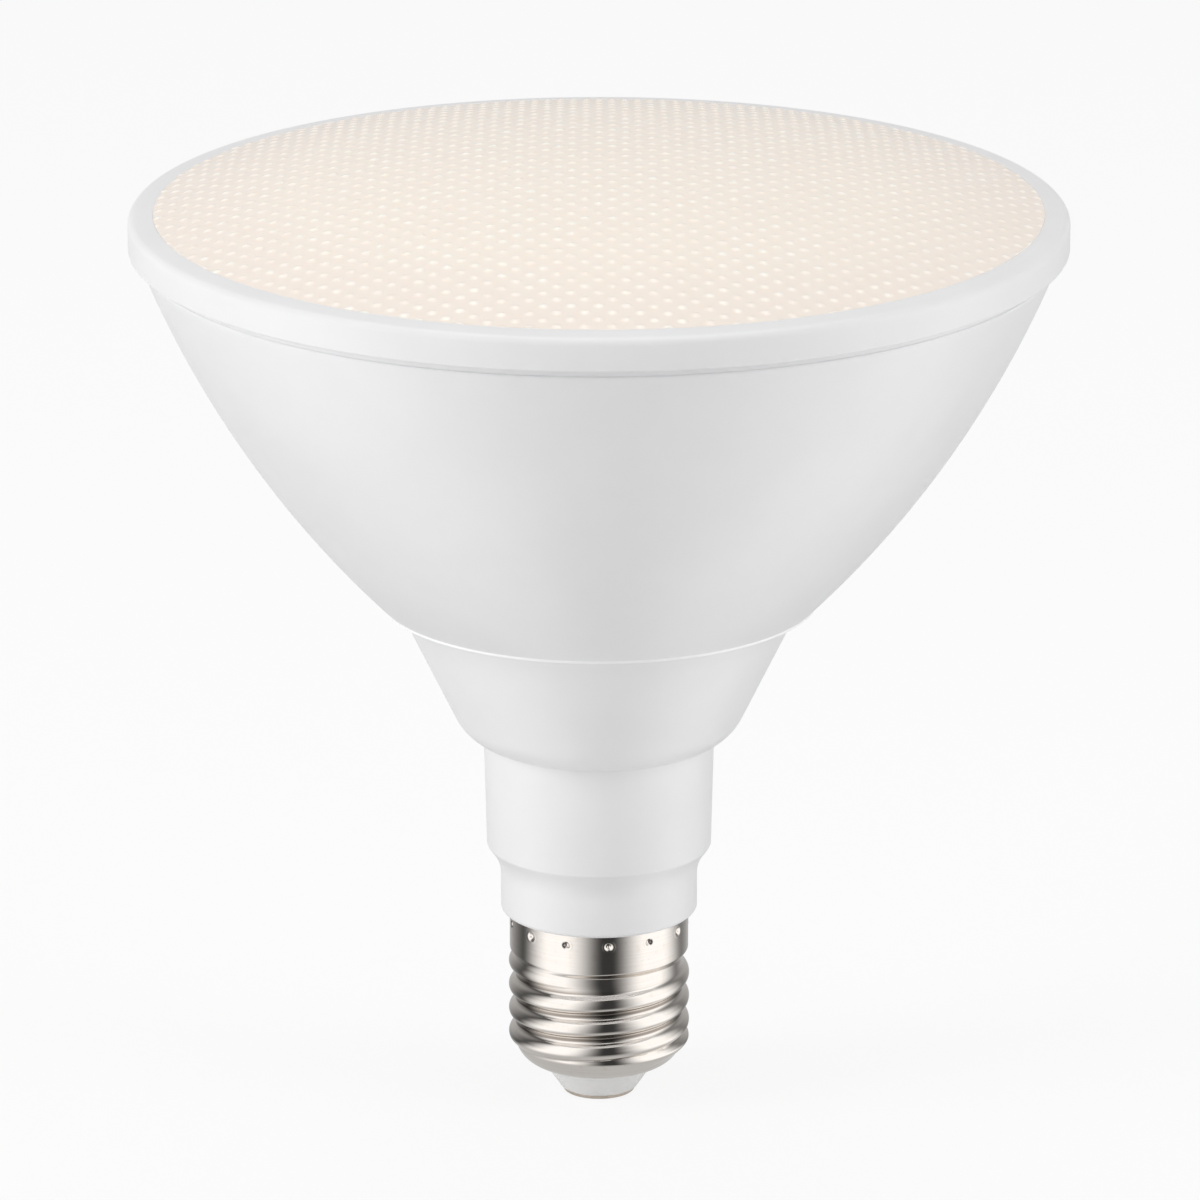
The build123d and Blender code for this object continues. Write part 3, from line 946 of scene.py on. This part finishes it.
@dataclass
class Funnel:
    """Lower housing: funnel, shoulder, stepped neck and the spigot that carries the cap."""

    screws: ScrewPlaces
    mouth_outer: float = 29.1
    mouth_edge: float = 0.5
    mouth_bore: float = 25.8
    collar_seat: float = 71.8
    high: float = SEAM_HEIGHT
    shoulder: float = 20.8
    shoulder_z: float = 57.8
    shoulder_steps: int = 16
    neck_top: float = 16.6
    neck_top_z: float = 54.1
    neck_low: float = 16.2
    neck_low_z: float = 38.15
    small_neck: float = 14.2
    small_neck_z: float = 33.35
    step_lead: float = 0.5
    step_run: float = 2.8
    step_points: int = 25
    small_edge: float = 0.8
    cap_z: float = CAP_TOP
    spigot: float = 12.35
    spigot_bore: float = 10.75
    spigot_z: float = 22.45
    small_bore: float = 11.9
    small_bore_rise: float = 1.6
    shelf: float = 37.15
    neck_bore: float = 14.2
    neck_bore_edge: float = 1.0
    wall: float = 2.0
    edge: float = 0.2
    boss: float = 2.6
    boss_height: float = 12.0
    screw_depth: float = 8.1
    rail_depth: float = 2.2
    rail_width: float = 1.2
    rail_gap: float = 0.9
    rail_sink: float = 0.2
    segments: int = 288
    room_segments: int = 96

    def _shoulder(self) -> list[Corner]:
        """Draw the arc that leaves the funnel's line smoothly and ends at the neck.

        Returns:
            The points between its ends, with no rounding.
        """
        start = Vector((self.shoulder, self.shoulder_z))
        end = Vector((self.neck_top, self.neck_top_z))
        mouth = Vector((self.mouth_outer - self.mouth_edge / 2, self.high - self.mouth_edge))
        along = (start - mouth).normalized()
        normal = Vector((-along.y, along.x))
        gap = end - start
        centre = start + normal * (gap.length_squared / (2 * gap.dot(normal)))
        return [(*point, 0.0) for point in arc(centre, start, end, self.shoulder_steps)[1:-1]]

    def _step(self) -> list[Corner]:
        """Draw the ogee from the neck to the small neck.

        Returns:
            Its points, with upright ends and no rounding.
        """
        start = Vector((self.neck_low, self.neck_low_z))
        end = Vector((self.small_neck, self.small_neck_z))
        lead, run = Vector((0.0, -self.step_lead)), Vector((0.0, self.step_run))
        curve = interpolate_bezier(start, start + lead, end + run, end, self.step_points)
        return [(*point, 0.0) for point in curve]

    def _rails(self) -> list[bpy.types.Object]:
        """Make the guides for the driver board's edges.

        Returns:
            Four upright bars that stand a little way into shelf and wall.
        """
        rails = []
        inner, outer = self.neck_bore - self.rail_depth, self.neck_bore + self.wall / 2
        for side in (-1, 1):
            for face in (-1, 1):
                near, far = face * self.rail_gap, face * (self.rail_gap + self.rail_width)
                points = [
                    (side * x, y, z)
                    for z in (self.shelf - self.rail_sink, self.neck_top_z)
                    for x, y in ((inner, near), (outer, near), (outer, far), (inner, far))
                ]
                foot, head = [0, 1, 2, 3], [4, 5, 6, 7]
                faces = [foot, head, *bands([foot, head])]
                rails.append(mesh_object(f"rail_{side}_{face}", np.array(points), faces))
        return rails

    def _turned(self) -> bpy.types.Object:
        """Turn the housing without its bosses and rails.

        Returns:
            The turned mesh.
        """
        corners = [
            (self.mouth_outer - self.mouth_edge, self.high, 0.0),
            (self.mouth_outer - self.mouth_edge / 2, self.high - self.mouth_edge, self.edge),
            (self.shoulder, self.shoulder_z, 0.0),
            *self._shoulder(),
            (self.neck_top, self.neck_top_z, 0.0),
            *self._step(),
            (self.small_neck, self.cap_z, self.small_edge),
            (self.spigot, self.cap_z, 0.0),
            (self.spigot, self.spigot_z, self.edge),
            (self.spigot_bore, self.spigot_z, self.edge),
            (self.spigot_bore, self.cap_z, 0.0),
            (self.small_bore, self.cap_z + self.small_bore_rise, 0.0),
            (self.small_bore, self.shelf, self.edge),
            (self.neck_bore, self.shelf, 0.0),
            (self.neck_bore, self.neck_top_z + self.wall / 2, self.neck_bore_edge),
            (self.shoulder - self.wall, self.shoulder_z, 0.0),
            (self.mouth_bore, self.collar_seat, 0.0),
            (self.mouth_bore, self.high, self.edge),
        ]
        return lathe("funnel", rounded(corners), self.segments)

    def build(self) -> bpy.types.Object:
        """Make the housing with its screw bosses and board rails.

        Returns:
            The joined mesh.
        """
        housing = self._turned()
        room = [
            (0, self.high),
            (self.mouth_bore, self.high),
            (self.mouth_bore, self.collar_seat),
            (self.shoulder - self.wall / 2, self.shoulder_z),
            (0, self.shoulder_z),
        ]
        low = self.high - self.boss_height
        for step, boss in enumerate(self.screws.columns("boss", self.boss, low, self.high)):
            join(boss, [lathe(f"boss_room_{step}", room, self.room_segments)], Join.KEEP)
            join(housing, [boss], Join.ADD)
        join(housing, self._rails(), Join.ADD)
        low, high = self.high - self.screw_depth, self.high + self.screws.overcut
        join(housing, self.screws.columns("boss_hole", self.screws.hole, low, high), Join.CUT)
        return housing

    def dress(self, finish: bpy.types.Material) -> None:
        """Build the housing and give it its plastic."""
        fit(self.build(), "lower_housing", "white_housing", finish)


@dataclass
class ScrewCap:
    """Rolled sheet cap: staked collar, rounded thread with run-outs and a rounded bottom."""

    top: float = CAP_TOP
    collar: float = 12.95
    collar_low: float = 21.95
    taper_ease: float = 0.25
    root: float = THREAD_ROOT
    crest: float = 13.1
    sheet: float = 0.5
    pitch: float = 3.629
    thread_start: float = 180.0
    thread_low: float = 8.95
    thread_turns: float = 3.0
    crest_share: float = 0.66
    lap_blend: float = 4.0
    tail_slope: float = 0.5
    tail_fade: Point = (-1.05, -0.45)
    tail_clear: float = 1.2
    head_fade: float = 0.3
    round_radius: float = 3.6
    bottom: float = CAP_BOTTOM
    mouth: float = 7.4
    stake_height: float = 26.2
    stake_count: int = 13
    stake_turn: float = -83.7
    stake_radius: float = 0.68
    stake_depth: float = 0.5
    stake_rim: float = 0.03
    stake_rim_reach: tuple[float, float, float] = (0.85, 1.05, 1.35)
    stake_zone: float = 1.1
    row_gap: float = 0.1
    edge_gap: float = 0.2
    top_rows: int = 3
    stake_rows: int = 17
    collar_rows: int = 6
    thread_rows: int = 100
    round_rows: int = 32
    inner_step: int = 4
    inner_round_step: int = 6
    inner_lift: float = 0.7
    segments: int = 480

    @staticmethod
    def _ease(low: float, high: float, value: np.ndarray) -> np.ndarray:
        """Smooth step from 0 at low to 1 at high."""
        share = np.clip((value - low) / (high - low), 0, 1)
        return share * share * (3 - 2 * share)

    def _profile(self, away: np.ndarray) -> np.ndarray:
        """Draw the thread's section, as two arcs that touch.

        Args:
            away: distance along the axis from the crest.

        Returns:
            The rise above the root.
        """
        depth, half = self.crest - self.root, self.pitch / 2
        both = (half**2 + depth**2) / (2 * depth)
        round_crest, round_root = both * self.crest_share, both * (1 - self.crest_share)
        crest = depth - round_crest + np.sqrt(np.maximum(round_crest**2 - away**2, 0))
        root = round_root - np.sqrt(np.maximum(round_root**2 - (half - away) ** 2, 0))
        return np.where(away < half * self.crest_share, crest, root)

    def _thread(self, turn: np.ndarray, height: np.ndarray) -> np.ndarray:
        """Lay the thread's laps over each other, with a tail below and a run-out above.

        Args:
            turn: angle round the axis, in turns from the thread's start.
            height: height along the axis.

        Returns:
            The rise above the root.
        """
        rise = np.zeros(np.broadcast(turn, height).shape)
        end = self.thread_turns
        for lap in range(-1, int(end) + 1):
            along = turn + lap
            centre = self.thread_low + self.pitch * np.where(along < 0, along * self.tail_slope, along)
            fade = self._ease(*self.tail_fade, along) * (1 - self._ease(end, end + self.head_fade, along))
            away = np.minimum(np.abs(height - centre), self.pitch / 2)
            rise = rise + (fade * self._profile(away)) ** self.lap_blend
        return rise ** (1 / self.lap_blend)

    def _stakes(self, angle: np.ndarray, height: np.ndarray) -> np.ndarray:
        """Press the stake marks into the collar.

        Args:
            angle: angle round the axis, in radians.
            height: height along the axis.

        Returns:
            The rise of their small rims, less the depth of the marks.
        """
        step = TURN / self.stake_count
        offset = (angle - math.radians(self.stake_turn) + step / 2) % step - step / 2
        away = np.hypot(offset * self.collar, height - self.stake_height) / self.stake_radius
        dent = self.stake_depth * (1 - self._ease(0.0, 1.0, away))
        start, peak, end = self.stake_rim_reach
        rim = self.stake_rim * self._ease(start, peak, away) * (1 - self._ease(peak, end, away))
        return rim - dent

    def _heights(self) -> np.ndarray:
        """Set out the rows of the outer face above its rounded bottom.

        Returns:
            Their heights from the top down, close together at the stake marks and on the thread.
        """
        stake_top, stake_low = self.stake_height + self.stake_zone, self.stake_height - self.stake_zone
        spans = (
            (self.top, self.top, 1),
            (self.top - self.edge_gap, stake_top + self.row_gap, self.top_rows),
            (stake_top, stake_low, self.stake_rows),
            (stake_low - self.edge_gap, self.collar_low + 2 * self.edge_gap, self.collar_rows),
            (self.collar_low + self.taper_ease, self.bottom + self.round_radius, self.thread_rows),
        )
        return np.concatenate([np.linspace(*span) for span in spans])

    def _outer(self, angle: np.ndarray) -> tuple[np.ndarray, np.ndarray]:
        """Shape the outer face of the sheet.

        Args:
            angle: directions round the axis, in radians.

        Returns:
            Radius and height at each row and direction.
        """
        upper = self._heights()
        round_z = self.bottom + self.round_radius
        taper_low = self.collar_low - (self.collar - self.root)
        taper = self._ease(taper_low - self.taper_ease, self.collar_low + self.taper_ease, upper)
        bend = np.linspace(0, math.pi / 2, self.round_rows + 1)[1:]
        bend_r = self.root - self.round_radius + self.round_radius * np.cos(bend)
        bend_z = round_z - self.round_radius * np.sin(bend)
        radius = np.concatenate([self.root + (self.collar - self.root) * taper, bend_r])[:, None]
        height = np.repeat(np.concatenate([upper, bend_z])[:, None], len(angle), axis=1)
        turn = (angle - math.radians(self.thread_start)) / TURN % 1.0
        clear = self._ease(self.bottom + self.tail_clear, round_z, height)
        thread = self._thread(turn, height) * clear
        return radius + np.where(height > self.collar_low, self._stakes(angle, height), thread), height

    def build(self) -> bpy.types.Object:
        """Make the sheet cap.

        Returns:
            The closed mesh of outer face, mouth and inner face.
        """
        angle = np.arange(self.segments) * TURN / self.segments
        outer, outer_z = self._outer(angle)
        total, above = len(outer), len(outer) - self.round_rows
        upper_rows = np.r_[0, self.inner_step:above:self.inner_step, above - 1]
        keep = np.r_[upper_rows, above + 1:total:self.inner_round_step][::-1]
        inner, inner_z = outer[keep] - self.sheet, outer_z[keep]
        inner_z[inner_z < self.bottom + self.round_radius] += self.sheet * self.inner_lift
        mouth = np.full((2, self.segments), self.mouth)
        mouth_z = np.repeat([[self.bottom], [self.bottom + self.sheet]], self.segments, axis=1)
        radius = np.concatenate([outer, mouth, inner])
        height = np.concatenate([outer_z, mouth_z, inner_z])
        points = np.stack([radius * np.cos(angle), radius * np.sin(angle), height], axis=-1)
        rows = np.arange(radius.size).reshape(radius.shape).tolist()
        return mesh_object("screw_cap", points.reshape(-1, 3), bands(rows + rows[:1]), SHARP_RELIEF)

    def dress(self, finish: NickelPlate) -> None:
        """Build the cap and plate it."""
        fit(self.build(), "screw_shell", "nickel", finish.material())


@dataclass
class CapEnd:
    """Insulating button in the cap's mouth, and the contact below it."""

    stem_hole: float = 1.6
    hole_edge: float = 0.1
    nose: float = 5.5
    nose_z: float = 0.6
    nose_edge: float = 0.5
    cone: float = 8.3
    cone_z: float = CAP_BOTTOM
    cone_edge: float = 0.15
    waist: float = 7.3
    flange: float = 8.4
    flange_low: float = 5.2
    flange_top: float = 6.4
    flange_edge: float = 0.2
    contact: float = 5.2
    contact_edge: float = 0.28
    contact_top_edge: float = 0.1
    stem: float = 1.5
    stem_top: float = 7.2
    stem_edge: float = 0.2
    segments: int = 192

    def build_button(self) -> bpy.types.Object:
        """Turn the insulating button.

        Returns:
            The button's mesh.
        """
        corners = [
            (self.stem_hole, self.nose_z, 0.0),
            (self.nose, self.nose_z, self.nose_edge),
            (self.cone, self.cone_z, self.cone_edge),
            (self.waist, self.cone_z, 0.0),
            (self.waist, self.flange_low, 0.0),
            (self.flange, self.flange_low, self.cone_edge),
            (self.flange, self.flange_top, self.flange_edge),
            (self.stem_hole, self.flange_top, self.hole_edge),
        ]
        return lathe("insulator_button", rounded(corners), self.segments)

    def build_contact(self) -> bpy.types.Object:
        """Turn the contact disc and its stem.

        Returns:
            The contact's mesh.
        """
        corners = [
            (0.0, 0.0, 0.0),
            (self.contact, 0.0, self.contact_edge),
            (self.contact, self.nose_z, self.contact_top_edge),
            (self.stem, self.nose_z, 0.0),
            (self.stem, self.stem_top, self.stem_edge),
            (0.0, self.stem_top, 0.0),
        ]
        return lathe("contact_disc", rounded(corners), self.segments)

    def dress(self, button: PatternFinish, contact: PatternFinish) -> None:
        """Build button and contact and give them their finishes."""
        fit(self.build_button(), "base_insulator", button.slot, button.material())
        fit(self.build_contact(), "centre_contact", contact.slot, contact.material())


@dataclass
class HiddenParts:
    """Light engine and driver inside the lamp, kept as solids with finishes of their own."""

    finishes: tuple[PatternFinish, ...]

    def dress(self) -> None:
        """Give each solid that no mesh stands for the finish of its slot."""
        slots = {part["node"]: part["material_slot"] for part in frame["record"]["subparts"]}
        made = {finish.slot: finish.material() for finish in self.finishes}
        for name, solid in frame["nodes"].items():
            if slots[name] in made:
                solid.data.materials.clear()
                solid.data.materials.append(made[slots[name]])
                LOG.info("%s keeps its solid, finish %s", name, slots[name])


@dataclass
class SoftBox:
    """One rectangular soft light that looks at the lamp's middle. Lengths are in metres."""

    name: str
    place: Axes
    size: Point
    power: float
    in_gloss: bool = False

    def build(self, aim: Vector) -> None:
        """Hang the light.

        Args:
            aim: the place that it is turned to.
        """
        light = bpy.data.lights.new(self.name, "AREA")
        light.shape = "RECTANGLE"
        light.size, light.size_y = self.size
        light.energy = self.power
        hung = bpy.data.objects.new(self.name, light)
        hung.location = self.place
        hung.visible_camera = False
        hung.visible_glossy = self.in_gloss
        hung.rotation_euler = (aim - hung.location).to_track_quat("-Z", "Y").to_euler()
        bpy.context.scene.collection.objects.link(hung)


@dataclass(frozen=True)
class Panel:
    """Bright panel of the light tent, by its direction from the camera's side in degrees."""

    centre: float
    half_width: float
    softness: float
    level: float = 1.0

    def shine(self, turn: Value) -> Value:
        """Brightness of the panel, with soft sides.

        Args:
            turn: direction in degrees from the camera's side.

        Returns:
            The share of full brightness.
        """
        away = HALF_TURN - ((turn - self.centre).size() - HALF_TURN).size()
        edge = away.between(self.half_width - self.softness, self.half_width + self.softness)
        return (1 - edge) * self.level


@dataclass
class LightTent:
    """Open tent that only shows in the lamp's gloss: bright panels on a dark wall, grey close by."""

    panels: tuple[Panel, ...]
    dark: float = 0.05
    bright: float = 1.4
    near: Point = (16.0, 30.0)
    near_level: float = 0.42
    radius: float = 600.0
    height: float = 800.0
    lift: float = 0.05
    segments: int = 96

    def _finish(self) -> bpy.types.Material:
        """Light the panels by their direction round the axis.

        Returns:
            The tent's material.
        """
        material, graph = new_material("light_tent")
        place = graph.place()
        inputs = {0: place, "Angle": TURN / 4}
        turned = graph.node("ShaderNodeVectorRotate", {"rotation_type": "Z_AXIS"}, inputs)
        share = graph.node("ShaderNodeTexGradient", {"gradient_type": "RADIAL"}, {0: turned}, "Fac")
        turn = (share - 0.5) * (2 * HALF_TURN)
        level = sum(panel.shine(turn) for panel in self.panels)
        away = graph.length(place).between(*self.near)
        level = level * away + self.near_level * (1 - away)
        dark = graph.node("ShaderNodeEmission", None, {"Strength": self.dark})
        bright = graph.node("ShaderNodeEmission", None, {"Strength": self.bright})
        glow = graph.node("ShaderNodeMixShader", None, {0: level, 1: dark, 2: bright})
        graph.node("ShaderNodeOutputMaterial", None, {"Surface": glow})
        return material

    def build(self) -> None:
        """Stand the tent on the floor."""
        outline = [(self.radius, self.lift), (self.radius, self.lift + self.height)]
        points, rows = rings(outline, self.segments)
        tent = mesh_object("light_tent", points, [rows[0], *bands(rows)])
        tent.data.materials.append(self._finish())
        for ray in ("camera", "diffuse", "transmission", "volume_scatter", "shadow"):
            setattr(tent, f"visible_{ray}", False)


@dataclass
class Studio:
    """Pale floor, white surroundings and soft lights. Lengths are in metres."""

    lights: tuple[SoftBox, ...]
    tent: LightTent
    floor_size: float = 8.0
    floor_colour: Colour = (0.85, 0.85, 0.85)
    floor_glow: float = 0.86
    room_light: float = 0.58
    aim: Axes = (0.0, 0.0, 0.07)

    @staticmethod
    def _seen(graph: Graph) -> Value:
        """Tell what the camera sees, also by reflection or through glass.

        Args:
            graph: the graph that asks.

        Returns:
            One for such rays and zero for light.
        """
        kinds = ("Camera", "Glossy", "Transmission")
        rays = [graph.node("ShaderNodeLightPath", output=f"Is {kind} Ray") for kind in kinds]
        return rays[0].at_least(rays[1]).at_least(rays[2])

    def _floor(self) -> None:
        """Lay the floor, white to the camera apart from the lamp's shadow."""
        half = self.floor_size / 2 / MM
        corners = np.array([(-half, -half, 0), (half, -half, 0), (half, half, 0), (-half, half, 0)])
        floor = mesh_object("floor", corners, [(0, 1, 2, 3)])
        material, graph = new_material("floor")
        seen = self._seen(graph)
        matt = graph.node("ShaderNodeBsdfDiffuse", None, {"Color": (*self.floor_colour, 1.0)})
        glow = graph.node("ShaderNodeEmission", None, {"Strength": 1.0})
        mixed = graph.node("ShaderNodeMixShader", None, {0: seen * self.floor_glow, 1: matt, 2: glow})
        graph.node("ShaderNodeOutputMaterial", None, {"Surface": mixed})
        floor.data.materials.append(material)

    def _room(self) -> None:
        """Surround the lamp with white that lights it softly."""
        world = bpy.data.worlds.new("room")
        world.use_nodes = True
        bpy.context.scene.world = world
        graph = Graph(world.node_tree)
        level = self._seen(graph).spread((self.room_light, 1.0))
        back = graph.node("ShaderNodeBackground", None, {"Strength": level})
        graph.node("ShaderNodeOutputWorld", None, {"Surface": back})

    def build(self) -> None:
        """Make floor, room, tent and lights."""
        self._floor()
        self._room()
        self.tent.build()
        for light in self.lights:
            light.build(Vector(self.aim))


@dataclass
class PhotoCamera:
    """Long-lens camera a little above the lens plane. Its place is in metres."""

    place: Axes = (0.000144, -1.2377, 0.4626)
    pitch: float = 17.41
    lens: float = 271.2
    sensor: float = 36.0
    far: float = 50.0

    def build(self) -> None:
        """Stand the camera up and make it the scene's own."""
        data = bpy.data.cameras.new("camera")
        data.lens = self.lens
        data.sensor_width = self.sensor
        data.clip_end = self.far
        stand = bpy.data.objects.new("camera", data)
        stand.location = self.place
        stand.rotation_euler = (math.radians(HALF_TURN / 2 - self.pitch), 0.0, 0.0)
        bpy.context.scene.collection.objects.link(stand)
        bpy.context.scene.camera = stand


WHITE_PLASTIC = MouldedPlastic("white_housing", (0.868, 0.866, 0.873), (0.848, 0.846, 0.854))
BUTTON = PatternFinish(
    "insulator", (0.90, 0.90, 0.89), (0.86, 0.86, 0.85), size=2.0, rough=(0.2, 0.32), depth=0.004
)
CONTACT = PatternFinish(
    "contact", (0.70, 0.62, 0.54), (0.56, 0.48, 0.40), size=0.8, rough=(0.25, 0.5), metallic=1.0, depth=0.006
)
HIDDEN = (
    PatternFinish("seal", (0.82, 0.81, 0.77), (0.74, 0.73, 0.69), rough=(0.6, 0.8)),
    PatternFinish("aluminium", (0.78, 0.78, 0.79), (0.66, 0.66, 0.68), Pattern.BRUSHED, metallic=1.0),
    PatternFinish("reflector", (0.90, 0.90, 0.89), (0.84, 0.84, 0.83), rough=(0.25, 0.4)),
    PatternFinish("white_board", (0.88, 0.88, 0.86), (0.70, 0.62, 0.42), Pattern.PRINTED, 4.0),
    PatternFinish("light_source", (0.90, 0.72, 0.18), (0.80, 0.58, 0.10), size=0.5),
    PatternFinish("screw_steel", (0.62, 0.62, 0.63), (0.48, 0.48, 0.50), Pattern.BRUSHED, metallic=1.0),
    PatternFinish("circuit_board", (0.05, 0.22, 0.09), (0.10, 0.34, 0.16), Pattern.PRINTED, 2.4),
    PatternFinish("capacitor_sleeve", (0.05, 0.06, 0.09), (0.03, 0.03, 0.05), Pattern.WOUND, 3.0),
    PatternFinish("film_capacitor", (0.74, 0.58, 0.14), (0.64, 0.48, 0.10), size=1.5),
    PatternFinish("black_package", (0.04, 0.04, 0.04), (0.02, 0.02, 0.02), size=0.3, rough=(0.5, 0.7)),
    PatternFinish("ferrite", (0.09, 0.09, 0.10), (0.05, 0.05, 0.05), size=0.6, rough=(0.55, 0.75)),
    PatternFinish("winding_tape", (0.80, 0.62, 0.12), (0.68, 0.50, 0.08), Pattern.WOUND, 2.0),
    PatternFinish("resistor_coat", (0.20, 0.42, 0.30), (0.14, 0.32, 0.22), size=0.7),
    PatternFinish("lead_white", (0.85, 0.85, 0.83), (0.78, 0.78, 0.76), Pattern.WOUND, 1.0),
    PatternFinish("lead_red", (0.60, 0.04, 0.03), (0.48, 0.03, 0.02), Pattern.WOUND, 1.0),
    PatternFinish("lead_black", (0.04, 0.04, 0.04), (0.02, 0.02, 0.02), Pattern.WOUND, 1.0),
)
LIGHTS = (
    SoftBox("overhead", (0.0, 0.25, 1.15), (0.9, 0.6), 2.4, in_gloss=True),
    SoftBox("left_box", (-1.0, -0.33, 0.5), (0.5, 0.9), 6.8),
    SoftBox("right_box", (1.0, -0.33, 0.5), (0.5, 0.9), 4.5),
    SoftBox("front_fill", (0.2, -1.5, 0.35), (0.6, 0.5), 0.5),
)
TENT = LightTent((Panel(-52.0, 34.0, 24.0), Panel(71.0, 34.0, 22.0), Panel(180.0, 50.0, 36.0, 0.36)))


def main() -> None:
    """Dress the lamp from the lens down, then light it and stand the camera up."""
    logging.basicConfig(level=logging.INFO, format="%(name)s: %(message)s")
    bpy.context.scene.view_settings.view_transform = "Standard"
    plastic = WHITE_PLASTIC.material()
    screws = ScrewPlaces()
    Lens().dress(LensPlastic())
    Bezel().dress(plastic)
    Bowl(screws).dress(plastic)
    Funnel(screws).dress(plastic)
    ScrewCap().dress(NickelPlate())
    CapEnd().dress(BUTTON, CONTACT)
    HiddenParts(HIDDEN).dress()
    Studio(LIGHTS, TENT).build()
    PhotoCamera().build()


if __name__ == "__main__":
    main()
